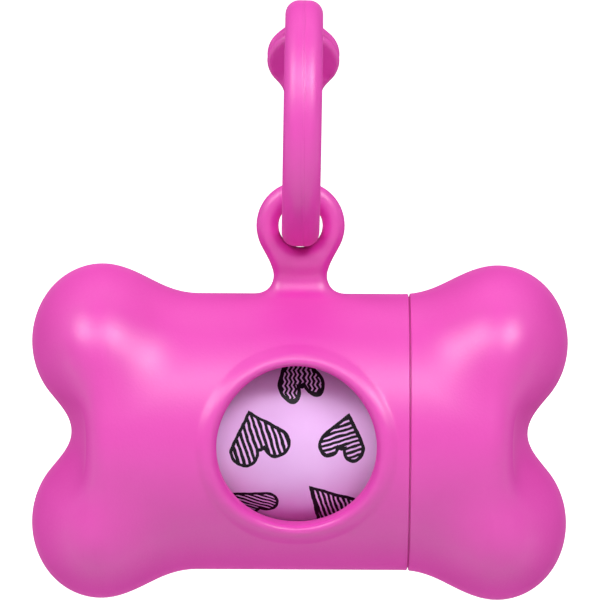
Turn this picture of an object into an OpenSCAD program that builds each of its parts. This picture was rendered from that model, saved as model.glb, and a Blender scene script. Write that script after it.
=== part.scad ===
// Bone-shaped dispenser for a roll of dog waste bags, hung by a ring strap.
// Millimetres. +Z is up and +X runs along the bone towards its cap.
// The origin is the middle of the strap's loop, where a lead passes through.

/* [Case] */
// Edge radius of the round middle's ends, under the lobes
middle_edge = 4; // [2:0.5:8]
// From the end of the round middle in to the centre of a lobe
lobe_set = 1.45; // [0:0.05:4]
// From the bone's axis up to the centre of a lobe
lobe_z = 14.5; // [13:0.25:16]
// Reach of a lobe along the bone
lobe_reach = 10.75; // [9:0.25:13]
// Half depth of a lobe, front to back
lobe_depth = 19; // [12:0.5:21]
// Half height of a lobe
lobe_rise = 12; // [11:0.25:14]
// Softness of the blend from the middle into the lobes
lobe_blend = 6.6; // [5:0.1:10]
// Softness of the notch between two lobes
notch_blend = 10.5; // [6:0.1:12]
// Thickness of the soft outer skin
skin = 2; // [1.4:0.1:2.6]
// Room between the barrel and the skin, where the cap's cup slides
skin_room = 2.2; // [1.6:0.1:3]
// Room between the barrel's closed end and the skin
end_room = 0.4; // [0.2:0.1:1.5]
// From the middle of the bone to the seam of the cap
seam_x = 17.2; // [16:0.1:20]
// Open line of the seam
seam_gap = 0.2; // [0.1:0.05:0.4]

/* [Window] */
// Radius of the window that a bag is pulled from
window_r = 12.7; // [10:0.1:13.5]
// Width of the raised bead round the window
bead_w = 3.4; // [2:0.1:4]
// Height of the bead over the case
bead_h = 0.7; // [0.3:0.1:1.2]
// Wall of the collar behind the window
collar_wall = 1.5; // [1:0.1:2.5]

/* [Hanger eye] */
// Height of the eye's centre over the top of the case
eye_rise = 11; // [10.5:0.1:13]
// Radius of the eye's round rim
eye_rim_r = 1.68; // [1.4:0.02:1.9]
// Width of the neck under the eye
neck_w = 8.35; // [7:0.05:9.5]
// Thickness of the neck, front to back
neck_t = 3.2; // [2.4:0.1:3.2]
// Radius where the neck's sides meet the case
neck_fillet = 3; // [2:0.1:3.2]
// Straight length of the neck's sides
neck_straight = 0.9; // [0.6:0.1:1.2]

/* [Barrel] */
// Radial room for the roll in the barrel
roll_room = 0.7; // [0.5:0.1:1.5]
// Wall of the barrel
barrel_wall = 1; // [0.8:0.1:1.2]
// Length of the barrel's neck past the seam
barrel_neck = 8; // [6:0.5:10]
// Thickness of the flange that fills the mouth of the skin
flange_t = 1.5; // [1:0.1:2.5]
// Thickness of the closed ends
end_wall = 1; // [0.8:0.1:1.8]
// Bevel on the edge of the closed ends
end_bevel = 1.2; // [1:0.1:2]
// Free length of the chamber beyond the roll, at each end
roll_play = 0.4; // [0.3:0.1:1.2]
// Radial clearance of the cap on the barrel's neck
cap_fit = 0.08; // [0.05:0.01:0.1]
// Radial clearance of the barrel's flange and wall in the skin
liner_gap = 0.1; // [0.05:0.05:0.2]
// How far the barrel's window stands back from the skin's window
window_step = 0.5; // [0.3:0.1:1]

/* [Bag roll] */
// Outer radius of the full roll
roll_r = 16.1; // [14:0.1:18]
// Width of the roll, which is the width of a folded bag
roll_len = 59; // [55:0.5:64]
// Outer radius of the cardboard core
core_r = 8; // [6:0.5:10]
// Wall of the cardboard core
core_wall = 1; // [0.6:0.1:1.5]
// Thickness of the leading bag's folded film
film_t = 0.25; // [0.15:0.05:0.4]
// How far round the roll the leading bag reaches
film_wrap = 325; // [280:5:340]
// Air between the leading bag and the bags under it
film_gap = 0.05; // [0.02:0.01:0.1]
// Gap under the roll, where it lies in the barrel
roll_seat = 0.2; // [0.1:0.05:0.4]
// Place of the leading bag's loose edge: degrees from straight down, towards the window
film_edge = 35; // [10:1:40]

/* [Strap] */
// Outer radius of the ring strap
strap_out_r = 19.4; // [18:0.1:22]
// Width of the strap
strap_w = 5.8; // [5:0.1:6.4]
// Thickness of the strap
strap_t = 4.2; // [3.6:0.1:4.6]
// Room for the strap on each side in the eye
strap_side_room = 0.67; // [0.5:0.01:1]
// Air between the strap's round edges and the bottom of the eye
strap_air = 0.15; // [0.1:0.05:0.3]
// Lean of the standing strap towards the cap, in degrees
strap_lean = 0.7; // [0:0.1:2]

/* [Closure] */
// Place of the press stud on the strap: degrees from the strap's lowest point, towards the back
stud_angle = 123; // [110:1:130]
// Radius of the strap's round ends
disc_r = 5.8; // [5:0.1:6.4]
// Thickness of each round end
disc_t = 1.6; // [1.3:0.1:1.9]
// Radius of the stud's nose
stud_r = 1.9; // [1.5:0.1:2.2]
// Length of the stud below its disc
stud_len = 1.5; // [1.2:0.1:1.6]
// Radial room for the stud in its hole
stud_room = 0.3; // [0.2:0.05:0.5]
// Face gap between the two round ends
lap_gap = 0.05; // [0.03:0.01:0.1]
// Distance along the strap from the stud to where the flap bends
flap_len = 10; // [9:0.5:12]

/* [Hidden] */

pink = [0.91, 0.33, 0.73];
liner_pink = [0.86, 0.28, 0.66];
lilac = [0.86, 0.72, 0.9];
card = [0.72, 0.6, 0.45];

// Facets of the formula-made ends: points round the bone, and rings along an end
around = 60;
outer_rings = 22;
inner_rings = 14;
straight_rings = 5;
halvings = 26;
past = 1;

// Case, barrel and cap: the roll sets the size of the bone
barrel_bore_r = roll_r + roll_room;
barrel_r = barrel_bore_r + barrel_wall;
skin_in_r = barrel_r + skin_room;
case_r = skin_in_r + skin;
flange_r = skin_in_r - liner_gap;
chamber_half = roll_len/2 + roll_play;
end_x = chamber_half + end_wall;
middle_half = end_x + end_room + skin;
lobe_x = middle_half - lobe_set;
fan_x = lobe_x - 0.75*lobe_reach;
far_off = 3*case_r;
mouth_x = seam_x + barrel_neck;
skin_join_x = 17.4;
join_lap = 1;
join_sink = 0.3;
socket_r = barrel_r + cap_fit;
cap_mouth_x = seam_x + seam_gap;
socket_end_x = mouth_x + roll_play;
collar_foot_r = barrel_r + liner_gap;

// Strap and eye
strap_mid_r = strap_out_r - strap_t/2;
eye_hole_r = strap_w/2 + strap_side_room;
eye_mid_r = eye_hole_r + eye_rim_r;
eye_out_r = eye_mid_r + eye_rim_r;
edge_out = (strap_w - strap_t)/2;
strap_in_eye = sqrt(pow(eye_hole_r - strap_air - strap_t/2, 2) - pow(edge_out, 2));
eye_drop = strap_mid_r - strap_in_eye;
eye_z = case_r + eye_rise;
eye_at = eye_drop * [-sin(strap_lean), 0, -cos(strap_lean)];
case_at = eye_at - [0, 0, eye_z];

// Closure: the two round ends lap on a flat at the strap's mid radius
lap_r = strap_mid_r;
flap_pivot_s = flap_len;
flap_pivot_h = sqrt(strap_out_r*strap_out_r - flap_len*flap_len);
flap_root_angle = stud_angle + atan2(flap_pivot_s, flap_pivot_h);
flap_swing_r = flap_pivot_s - disc_r - stud_room/2;
disc_room = stud_room;
band_end = asin(0.6*disc_r/strap_mid_r);

// Roll
film_in_r = roll_r - film_t;
wound_r = film_in_r - film_gap;
roll_drop = barrel_bore_r - roll_r - roll_seat;

// Smooth least of two distances: k is how wide the blend is
function soft_min(a, b, k) = min(a, b) - pow(max(k - abs(a - b), 0), 2)/(4*k);

// Signed distance, near the surface, to an ellipsoid of semi-axes s about the origin
function ellipsoid_gap(p, s) =
    let (u = [p.x/s.x, p.y/s.y, p.z/s.z], v = [u.x/s.x, u.y/s.y, u.z/s.z])
    norm(u)*(norm(u) - 1)/max(norm(v), 1e-6);

// Signed distance to the round middle, a cylinder along X with rounded edges
function middle_gap(p) =
    let (a = abs(p.x) - (middle_half - middle_edge),
         b = norm([p.y, p.z]) - (case_r - middle_edge))
    min(max(a, b), 0) + norm([max(a, 0), max(b, 0)]) - middle_edge;

// Signed distance to the whole bone: the middle and the lobes of one end, run together
function bone_gap(p) =
    let (s = [lobe_reach, lobe_depth, lobe_rise], x = abs(p.x) - lobe_x)
    soft_min(middle_gap(p),
             soft_min(ellipsoid_gap([x, p.y, p.z - lobe_z], s),
                      ellipsoid_gap([x, p.y, p.z + lobe_z], s), notch_blend),
             lobe_blend);

// Distance from point o along direction d to the bone's surface, sunk by depth
function bone_reach(o, d, depth, lo = 0, hi = far_off, n = halvings) =
    n == 0 ? (lo + hi)/2 :
    let (mid = (lo + hi)/2)
    bone_gap(o + mid*d) < -depth ? bone_reach(o, d, depth, mid, hi, n - 1)
                                 : bone_reach(o, d, depth, lo, mid, n - 1);

// One ring of points round the bone: rays from o, tilt degrees from the bone's axis
function bone_ring(o, tilt, depth) =
    [for (i = [0 : around - 1])
        let (a = 360*i/around, d = [cos(tilt), sin(tilt)*sin(a), sin(tilt)*cos(a)])
        o + bone_reach(o, d, depth)*d];

// The rings of an end from start_x to its notch: upright ones, then ones that fan in
function end_rings(start_x, fan_x, depth, fans) =
    concat(
        [for (i = [0 : straight_rings - 1])
            bone_ring([start_x + (fan_x - start_x)*i/straight_rings, 0, 0], 90, depth)],
        [for (i = [0 : fans - 1]) bone_ring([fan_x, 0, 0], 90*(1 - i/fans), depth)]);

function flat_ring(x, r) =
    [for (i = [0 : around - 1]) let (a = 360*i/around) [x, r*sin(a), r*cos(a)]];

// A closed skin over one end of the bone, with its notch at +X: mouth holds the outer and the
// inner ring of its open end, and where the next ring stands
module end_skin(mouth) {
    tip_out = [fan_x + bone_reach([fan_x, 0, 0], [1, 0, 0], 0), 0, 0];
    tip_in = [fan_x + bone_reach([fan_x, 0, 0], [1, 0, 0], skin), 0, 0];
    out = concat([mouth[0]], end_rings(mouth[2], fan_x, 0, outer_rings));
    in = concat([mouth[1]], end_rings(mouth[2], fan_x, skin, inner_rings));
    no = len(out);
    ni = len(in);
    points = concat([for (r = out) each r], [for (r = in) each r], [tip_out, tip_in]);
    last = len(points);
    function at(k, i) = k*around + i % around;
    polyhedron(points, concat(
        [for (k = [0 : no - 2], i = [0 : around - 1]) each
            [[at(k, i), at(k, i + 1), at(k + 1, i)],
             [at(k, i + 1), at(k + 1, i + 1), at(k + 1, i)]]],
        [for (i = [0 : around - 1]) [at(no - 1, i), at(no - 1, i + 1), last - 2]],
        [for (k = [no : no + ni - 2], i = [0 : around - 1]) each
            [[at(k, i), at(k + 1, i), at(k, i + 1)],
             [at(k, i + 1), at(k + 1, i), at(k + 1, i + 1)]]],
        [for (i = [0 : around - 1]) [at(no + ni - 1, i), last - 1, at(no + ni - 1, i + 1)]],
        [for (i = [0 : around - 1]) each
            [[at(0, i), at(no, i), at(0, i + 1)],
             [at(0, i + 1), at(no, i), at(no, i + 1)]]]),
        convexity = 6);
}

// A cylinder along X, from x0 to x1
module rod_x(r, x0, x1) translate([x0, 0, 0]) rotate([0, 90, 0])
    cylinder(r = r, h = x1 - x0, $fn = 128);

// A cylinder along Y, from the front y0 to y1
module rod_y(r, y0, y1) translate([0, y1, 0]) rotate([90, 0, 0])
    cylinder(r = r, h = y1 - y0, $fn = 128);

// A profile of [x, radius] points turned about the bone's axis
module turned(profile) rotate([0, 90, 0]) rotate_extrude($fn = 128)
    polygon([for (p = profile) [p[1], p[0]]]);

// Points of an arc about c
function arc(c, r, a0, a1, n = 10) =
    [for (i = [0 : n]) let (a = a0 + (a1 - a0)*i/n) c + r*[cos(a), sin(a)]];

// The neck under the eye: out of the case, in to its waist and out to the eye's rim
module neck() {
    a = neck_w/2;
    z_low = case_r + neck_fillet;
    z_high = z_low + neck_straight;
    h = eye_z - z_high;
    r_high = (a*a + h*h - eye_out_r*eye_out_r)/(2*(eye_out_r - a));
    turn = atan2(h, a + r_high);
    foot = case_r - skin/2;
    side = concat([[a + neck_fillet, foot]],
                  arc([a + neck_fillet, z_low], neck_fillet, 270, 180),
                  arc([a + r_high, z_high], r_high, 180, 180 - turn),
                  [[0, eye_z]]);
    rotate([90, 0, 0]) translate([0, 0, -neck_t/2]) linear_extrude(neck_t)
        polygon(concat(side, [for (i = [len(side) - 2 : -1 : 0]) [-side[i].x, side[i].y]]));
}

module eye_rim() translate([0, 0, eye_z]) rotate([90, 0, 0])
    rotate_extrude($fn = 128) translate([eye_mid_r, 0]) circle(eye_rim_r, $fn = 64);

// The bead round the window, and the collar behind it that meets the barrel
module window_bead() intersection() {
    rod_y(window_r + bead_w, -case_r - bead_h - past, -skin_in_r*cos(asin((window_r + bead_w)/case_r)));
    rod_x(case_r + bead_h, -window_r - bead_w - past, window_r + bead_w + past);
}

module window_collar() difference() {
    rod_y(window_r + collar_wall, -skin_in_r - skin/2, 0);
    rod_x(collar_foot_r, -window_r - collar_wall - past, window_r + collar_wall + past);
}

module case_skin() color(pink) translate(case_at) difference() {
    union() {
        difference() {
            union() {
                rod_x(case_r, -skin_join_x, seam_x);
                window_bead();
                difference() {
                    neck();
                    translate([0, 0, eye_z]) rod_y(eye_mid_r, -neck_t, neck_t);
                }
            }
            rod_x(skin_in_r, -skin_join_x - past, seam_x + past);
        }
        eye_rim();
        window_collar();
        mirror([1, 0, 0]) end_skin([
            flat_ring(skin_join_x - join_lap, case_r - join_sink),
            flat_ring(skin_join_x - join_lap, skin_in_r + join_sink),
            skin_join_x + join_lap/2]);
    }
    rod_y(window_r, -case_r - bead_h - past, 0);
}

// The stiff barrel inside: closed at the left, with a flange at the seam and a neck for the cap
module barrel() color(liner_pink) translate(case_at) difference() {
    turned([
        [-end_x, 0], [-end_x, barrel_r - end_bevel], [-end_x + end_bevel, barrel_r],
        [seam_x - flange_t, barrel_r], [seam_x - flange_t, flange_r], [seam_x, flange_r],
        [seam_x, barrel_r], [mouth_x, barrel_r], [mouth_x, barrel_bore_r],
        [-chamber_half, barrel_bore_r], [-chamber_half, 0]]);
    rod_y(window_r + window_step, -barrel_r - past, 0);
}

module cap_skin() color(pink) translate(case_at) end_skin([
    bone_ring([cap_mouth_x, 0, 0], 90, 0), bone_ring([cap_mouth_x, 0, 0], 90, skin),
    cap_mouth_x + join_lap]);

// The stiff cup inside the cap: a flange at the seam, a socket for the neck, and a closed end
module cap_liner() color(liner_pink) translate(case_at) turned([
    [cap_mouth_x, socket_r], [cap_mouth_x, flange_r], [cap_mouth_x + flange_t, flange_r],
    [cap_mouth_x + flange_t, socket_r + barrel_wall], [socket_end_x + end_wall, socket_r + barrel_wall],
    [socket_end_x + end_wall, barrel_r], [end_x - end_bevel, barrel_r],
    [end_x, barrel_r - end_bevel], [end_x, 0], [chamber_half, 0],
    [chamber_half, barrel_bore_r], [socket_end_x, barrel_bore_r], [socket_end_x, socket_r]]);

module on_roll() translate(case_at - [0, 0, roll_drop]) children();

module tube_x(r_out, r_in, half) difference() {
    rod_x(r_out, -half, half);
    rod_x(r_in, -half - past, half + past);
}

module bag_roll() color(lilac) on_roll() tube_x(wound_r, core_r + film_gap, roll_len/2);

module roll_core() color(card) on_roll() tube_x(core_r, core_r - core_wall, roll_len/2);

// The outermost bag: its loose edge lies just under the window
module leading_bag() color(lilac) on_roll()
    rotate([0, 90, 0]) rotate([0, 0, -film_edge - film_wrap]) rotate_extrude(angle = film_wrap, $fn = 128)
        translate([film_in_r, -roll_len/2]) square([film_t, roll_len]);

module on_strap() rotate([0, strap_lean, 0]) children();

// A flat-sided, round-edged strap section of the given thickness and width
module strap_section() {
    square([strap_t, strap_w - strap_t], center = true);
    for (s = [-1, 1]) translate([0, s*edge_out]) circle(strap_t/2, $fn = 64);
}

// The strap from angle a0 to a1, in degrees from its lowest point towards the back
module strap_arc(a0, a1) rotate([0, 90, 0]) rotate([0, 0, a0])
    rotate_extrude(angle = a1 - a0, $fn = 180) translate([strap_mid_r, 0]) strap_section();

// Axes at the press stud: Z outwards, Y along the strap away from the flap's bend
module at_stud() rotate([180 + stud_angle, 0, 0]) children();

module strap_loop() color(pink) on_strap() difference() {
    union() {
        difference() {
            strap_arc(flap_root_angle - 360, stud_angle - band_end);
            at_stud() translate([0, 0, lap_r]) cylinder(r = disc_r + disc_room, h = strap_t, $fn = 96);
        }
        at_stud() translate([0, 0, lap_r - disc_t]) cylinder(r = disc_r, h = disc_t, $fn = 96);
    }
    at_stud() cylinder(r = stud_r + stud_room, h = lap_r + past, $fn = 64);
}

// The end of the strap that lifts: it bends at its root and carries the stud
module strap_flap() color(pink) on_strap() {
    difference() {
        union() {
            strap_arc(stud_angle + band_end, flap_root_angle);
            at_stud() translate([0, 0, lap_r + lap_gap]) cylinder(r = disc_r, h = disc_t, $fn = 96);
        }
        difference() {
            at_stud() translate([-strap_w, -flap_pivot_s - strap_t, 0])
                cube([2*strap_w, flap_pivot_s + strap_t + disc_r, lap_r + lap_gap]);
            at_stud() translate([0, -flap_pivot_s, flap_pivot_h]) rod_x(flap_swing_r, -strap_w, strap_w);
        }
    }
    at_stud() intersection() {
        translate([0, 0, lap_r - stud_len + stud_r]) sphere(stud_r, $fn = 64);
        cylinder(r = stud_r, h = lap_r + disc_t/2, $fn = 64);
    }
}

case_skin();
barrel();
cap_skin();
cap_liner();
bag_roll();
roll_core();
leading_bag();
strap_loop();
strap_flap();
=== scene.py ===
# %% [markdown]
# # A bone-shaped dispenser for dog waste bags
# The real thing is a soft, satin-pink case in the shape of a bone. A ring strap hangs it from a
# lead, a round window lets the bags out, and one end of the bone pulls off to load a new roll.
# This notebook dresses a finished CAD model of it: the frame is loaded first, and every piece
# made here stands where the frame has it.

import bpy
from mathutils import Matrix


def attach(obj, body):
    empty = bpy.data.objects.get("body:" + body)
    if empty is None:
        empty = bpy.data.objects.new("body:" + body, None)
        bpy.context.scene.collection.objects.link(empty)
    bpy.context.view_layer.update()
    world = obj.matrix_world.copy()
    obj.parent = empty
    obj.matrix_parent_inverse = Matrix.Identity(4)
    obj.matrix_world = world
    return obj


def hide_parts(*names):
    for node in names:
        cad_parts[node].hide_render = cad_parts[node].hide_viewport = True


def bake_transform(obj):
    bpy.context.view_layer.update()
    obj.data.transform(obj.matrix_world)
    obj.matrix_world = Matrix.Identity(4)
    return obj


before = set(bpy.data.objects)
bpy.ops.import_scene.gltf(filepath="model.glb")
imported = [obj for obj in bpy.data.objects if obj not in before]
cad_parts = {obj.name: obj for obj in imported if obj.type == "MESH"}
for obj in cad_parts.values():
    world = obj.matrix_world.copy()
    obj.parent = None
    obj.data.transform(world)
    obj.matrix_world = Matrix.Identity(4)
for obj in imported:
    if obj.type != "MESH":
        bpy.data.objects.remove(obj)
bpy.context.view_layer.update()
print("frame:", sorted(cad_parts))

# %% Tools that every cell uses
import math

import bpy
import numpy as np
from mathutils import Matrix, Vector

MM = 0.001                                   # Blender works in metres, the sizes below in mm

# %% [markdown]
# ## Sizes
# The sizes are the frame's own, in millimetres. Bone sizes count from the middle of the bone, and
# strap sizes from the middle of its loop, which is the origin of the whole part.

# %% The sizes of the bone and its window
CASE_R = 22.0                                # round middle of the bone
MIDDLE_HALF, MIDDLE_EDGE = 33.3, 4.0         # half length of that middle, and its rounded edge
LOBE_X, LOBE_Z = 31.85, 14.5                 # centre of a lobe
LOBE_REACH, LOBE_DEPTH, LOBE_RISE = 10.75, 19.0, 12.0
LOBE_BLEND, NOTCH_BLEND = 6.6, 10.5          # fillets: lobes to middle, lobe to lobe
SKIN = 2.0                                   # thickness of the soft skin
SEAM_X, SEAM_GAP = 17.2, 0.2
WINDOW_X, WINDOW_R = -0.45, 12.55
BARREL_BORE = 16.8
ROLL_R, ROLL_HALF = 16.1, 29.5

# %% The sizes of the eye and the strap
EYE_RISE, EYE_RIM_R, EYE_HOLE_R = 11.0, 1.68, 3.57
NECK_W, NECK_T = 8.35, 3.2                   # the foot of the eye
STRAP_R, STRAP_W, STRAP_T = 19.4, 5.8, 4.2
STRAP_MID = STRAP_R - STRAP_T / 2
STRAP_LEAN = math.radians(0.7)
SNUG = 0.1                                   # eye and strap each swell by this, so that they touch
STUD_ANGLE = 123.0                           # degrees from the strap's lowest point to the back
DISC_R, DISC_T, STUD_R, STUD_LEN = 5.8, 1.6, 1.9, 1.5
FLAP_LEN = 10.0

# %% Where the bone and the roll hang
EYE_PLAY, ROLL_PLAY = 0.15, 0.2              # clearances: eye to strap, roll to barrel
EYE_Z = CASE_R + EYE_RISE
eye_inside = math.sqrt((EYE_HOLE_R - EYE_PLAY - STRAP_T / 2) ** 2 - ((STRAP_W - STRAP_T) / 2) ** 2)
eye_drop = STRAP_MID - eye_inside
CASE_AT = np.array([-eye_drop * math.sin(STRAP_LEAN), 0, -eye_drop * math.cos(STRAP_LEAN) - EYE_Z])
ROLL_AT = CASE_AT - np.array([0, 0, BARREL_BORE - ROLL_R - ROLL_PLAY])
print("middle of the bone at", CASE_AT.round(3), "mm, roll at", ROLL_AT.round(3), "mm")

# %% [markdown]
# ## Selecting and finishing
# Operators work on what is selected, so each piece starts from a clean selection, and ends with
# its place in its mesh and its object at the origin.

# %% Helpers for selecting, applying and naming
def start_clean():
    if bpy.context.object and bpy.context.object.mode != "OBJECT":
        bpy.ops.object.mode_set(mode="OBJECT")
    bpy.ops.object.select_all(action="DESELECT")

def choose(*things):
    start_clean()
    for thing in things:
        thing.select_set(True)
    bpy.context.view_layer.objects.active = things[0]
    return things[0]

def settle_place(thing):
    choose(thing)
    bpy.ops.object.transform_apply(location=True, rotation=True, scale=True)
    return thing

def join_pieces(name, *things):
    whole = choose(*things)
    bpy.ops.object.join()
    whole.name = whole.data.name = name
    return settle_place(whole)

# %% Helpers for modifiers, points and shading
def bake_modifier(thing, kind, **settings):
    choose(thing)
    change = thing.modifiers.new(kind.lower(), kind)
    for key, value in settings.items():
        setattr(change, key, value)
    bpy.ops.object.modifier_apply(modifier=change.name)
    return thing

def points_of(thing):
    flat = np.empty(len(thing.data.vertices) * 3)
    thing.data.vertices.foreach_get("co", flat)
    return flat.reshape(-1, 3)

def move_points(thing, points):
    thing.data.vertices.foreach_set("co", np.ascontiguousarray(points, dtype=float).ravel())
    thing.data.update()

def soften(thing, degrees):
    choose(thing)
    bpy.ops.object.shade_smooth_by_angle(angle=math.radians(degrees))
    print(thing.name, len(thing.data.polygons), "faces, smooth up to", degrees, "degrees")
    return thing

# %% [markdown]
# ## The form of the bone as a formula
# A soft moulding has no edges to model one by one: its lobes melt into the middle. Such a form is
# easy to say as a signed distance, which is negative inside and zero on the surface. Two distances
# run together with a soft minimum, whose width is the width of the fillet. A mesh is then built
# roughly from primitives, remeshed evenly, and its points slid onto the zero surface, the way a
# sculptor presses clay into a mould.

# %% Distances of the bone
def soft_min(a, b, width):
    return np.minimum(a, b) - np.maximum(width - abs(a - b), 0) ** 2 / (4 * width)

def soft_max(a, b, width):
    return -soft_min(-a, -b, width)

def box_gap(a, b):
    """Distance from two walls that meet in a corner: a and b are the distances from each."""
    return np.minimum(np.maximum(a, b), 0) + np.hypot(np.maximum(a, 0), np.maximum(b, 0))

def ellipsoid_gap(p, reach):
    u = p / reach
    k = np.linalg.norm(u, axis=1)
    return k * (k - 1) / np.maximum(np.linalg.norm(u / reach, axis=1), 1e-6)

def bone_gap(p):
    x, y, z = abs(p[:, 0]), p[:, 1], p[:, 2]
    a = x - (MIDDLE_HALF - MIDDLE_EDGE)
    b = np.hypot(y, z) - (CASE_R - MIDDLE_EDGE)
    middle = box_gap(a, b) - MIDDLE_EDGE
    reach = np.array([LOBE_REACH, LOBE_DEPTH, LOBE_RISE])
    upper = ellipsoid_gap(np.stack([x - LOBE_X, y, z - LOBE_Z], 1), reach)
    lower = ellipsoid_gap(np.stack([x - LOBE_X, y, z + LOBE_Z], 1), reach)
    return soft_min(middle, soft_min(upper, lower, NOTCH_BLEND), LOBE_BLEND)

middle_gap = float(bone_gap(np.zeros((1, 3)))[0])
print("distance at the bone's middle", round(middle_gap, 2), "mm")

# %% [markdown]
# ## What is moulded onto the case
# The window's rim swells into a round bead that ends outward in a shallow crease, and the eye for
# the strap grows out of the top on a flat neck. Both are added to the case's distance: the bead as
# a swelling of the surface, the eye as a ring and a rounded block that run into it.

# %% Distances of the window's bead and lip
BEAD_CREST, BEAD_H = 14.1, 0.62              # bead round the window: radius and height
BEAD_IN, BEAD_OUT = 2.3, 1.75                # its widths inward and outward
BEAD_IN_FALL, BEAD_OUT_FALL = 2, 1.3         # the lower this power, the sharper its foot
LIP_ROUND = 1.5
WINDOW_BACK = -8.0                           # the window's cut stops here, on the way to the back

def windowed_gap(p):
    x, y, z = p.T
    out = np.hypot(x - WINDOW_X, z)
    beyond = out > BEAD_CREST
    swell = np.clip(abs(out - BEAD_CREST) / np.where(beyond, BEAD_OUT, BEAD_IN), 0, 1)
    bead = BEAD_H * (1 - swell ** 2) ** np.where(beyond, BEAD_OUT_FALL, BEAD_IN_FALL) * (y < 0)
    hole = np.maximum(out - WINDOW_R, y - WINDOW_BACK)
    return soft_max(bone_gap(p) - bead, -hole, LIP_ROUND)

# %% Distances of the eye
EYE_MID = EYE_HOLE_R + EYE_RIM_R
NECK_EDGE, NECK_SINK = 1.3, 0.3              # its rounded edge, and how far below the hole it stops
NECK_TOP_BLEND, EYE_BLEND, FOOT_BLEND = 1.5, 2.6, 3.6
EYE_FROM_Z, FAR_AWAY = 10, 50.0              # below this height there is no eye to blend with

def case_gap(p):
    x, y, z = p.T
    rim = np.hypot(np.hypot(x, z - EYE_Z) - EYE_MID, y) - EYE_RIM_R - SNUG
    across = np.abs(x) - (NECK_W / 2 - NECK_EDGE)
    deep = np.abs(y) - (NECK_T / 2 - NECK_EDGE)
    neck = box_gap(across, deep) - NECK_EDGE
    neck = soft_max(neck, z - (EYE_Z - EYE_MID - NECK_SINK), NECK_TOP_BLEND)
    eye = soft_min(rim, neck, EYE_BLEND)
    return soft_min(windowed_gap(p), np.where(z > EYE_FROM_Z, eye, FAR_AWAY), FOOT_BLEND)

# %% [markdown]
# ## Pressing points onto a surface
# The slope of the distance says which way the surface lies, and the distance says how far. A few
# such steps bring every point onto it. Between the first rounds each point also moves halfway to
# the mean of its neighbours, which keeps the faces even.

# %% The press
LONGEST_STEP, PROBE = 1.5, 0.01              # mm

def slope_of(gap, p):
    return np.stack([(gap(p + PROBE * e) - gap(p - PROBE * e)) / (2 * PROBE) for e in np.eye(3)], 1)

def press_into(thing, gap, at, rounds=6, even=2):
    """Slides every point of thing onto the surface where gap is zero, and evens out its mesh."""
    links = np.empty(len(thing.data.edges) * 2, dtype=int)
    thing.data.edges.foreach_get("vertices", links)
    a, b = links.reshape(-1, 2).T
    count = np.bincount(np.concatenate([a, b]), minlength=len(thing.data.vertices))[:, None]
    p = points_of(thing) / MM - at
    for turn in range(rounds):
        if 0 < turn <= even:
            mean = np.zeros_like(p)
            np.add.at(mean, a, p[b])
            np.add.at(mean, b, p[a])
            p += 0.5 * (mean / np.maximum(count, 1) - p)
        for _ in range(3):
            slope = slope_of(gap, p)
            size = np.maximum((slope ** 2).sum(1), 0.05)
            step = (gap(p) / size)[:, None] * slope
            length = np.linalg.norm(step, axis=1)[:, None]
            p -= step * np.minimum(1, LONGEST_STEP / np.maximum(length, 1e-9))
    left = abs(gap(p))
    move_points(thing, (p + at) * MM)
    print(thing.name, len(p), "points pressed, worst", round(float(left.max()), 3),
          "mm, mean", round(float(left.mean()), 4))

# %% [markdown]
# ## The two halves of the bone
# Each half starts as primitives laid over each other: a cylinder for the middle, a stretched
# sphere for each lobe, and on the case a torus and a block for the eye. A voxel remesh makes one
# even skin of them, and pressing gives that skin its exact form.

# %% Rough clay from primitives
TURN_TO = {"X": (0, math.pi / 2, 0), "Y": (math.pi / 2, 0, 0), "Z": (0, 0, 0)}
HALF_END, CLAY_SINK = 33, 0.4                # the middle's clay: its end, and how thin it starts
FLARE_BALL, FLARE_X, FLARE_Z = (15, 15, 14), 22, 8.5  # a ball where the middle widens to a lobe
PAST_SEAM = 3                                # the clay runs on this far past the seam

def clay_cylinder(radius, length, at, axis="X"):
    bpy.ops.mesh.primitive_cylinder_add(vertices=96, radius=radius * MM, depth=length * MM,
                                        location=np.asarray(at) * MM, rotation=TURN_TO[axis])
    return bpy.context.object

def clay_ball(reach, at):
    bpy.ops.mesh.primitive_uv_sphere_add(segments=64, ring_count=32, radius=MM,
                                         location=np.asarray(at) * MM, scale=reach)
    return bpy.context.object

def rough_half(side, inner_end):
    start_clean()
    bits = [clay_cylinder(CASE_R - CLAY_SINK, HALF_END - inner_end,
                          CASE_AT + [side * (HALF_END + inner_end) / 2, 0, 0])]
    for up in (1, -1):
        bits.append(clay_ball((LOBE_REACH, LOBE_DEPTH, LOBE_RISE),
                              CASE_AT + [side * LOBE_X, 0, up * LOBE_Z]))
        bits.append(clay_ball(FLARE_BALL, CASE_AT + [side * FLARE_X, 0, up * FLARE_Z]))
    return bits

def even_skin(thing, voxel):
    bake_modifier(thing, "REMESH", mode="VOXEL", voxel_size=voxel * MM, use_smooth_shade=True)
    return thing

def cut_with(thing, tool):
    bake_modifier(thing, "BOOLEAN", object=tool, operation="DIFFERENCE", solver="EXACT")
    bpy.data.objects.remove(tool)
    return thing

# %% The case's clay, with bead, eye and window
VOXEL = 0.5
BEAD_DISC_OUT, BEAD_DISC_T, BEAD_DISC_SINK = 1.5, 4, 1.6
NECK_BLOCK_Z, NECK_BLOCK_H = 23.5, 8
WINDOW_TOOL_Y, WINDOW_TOOL_LEN = -17, 18

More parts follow.
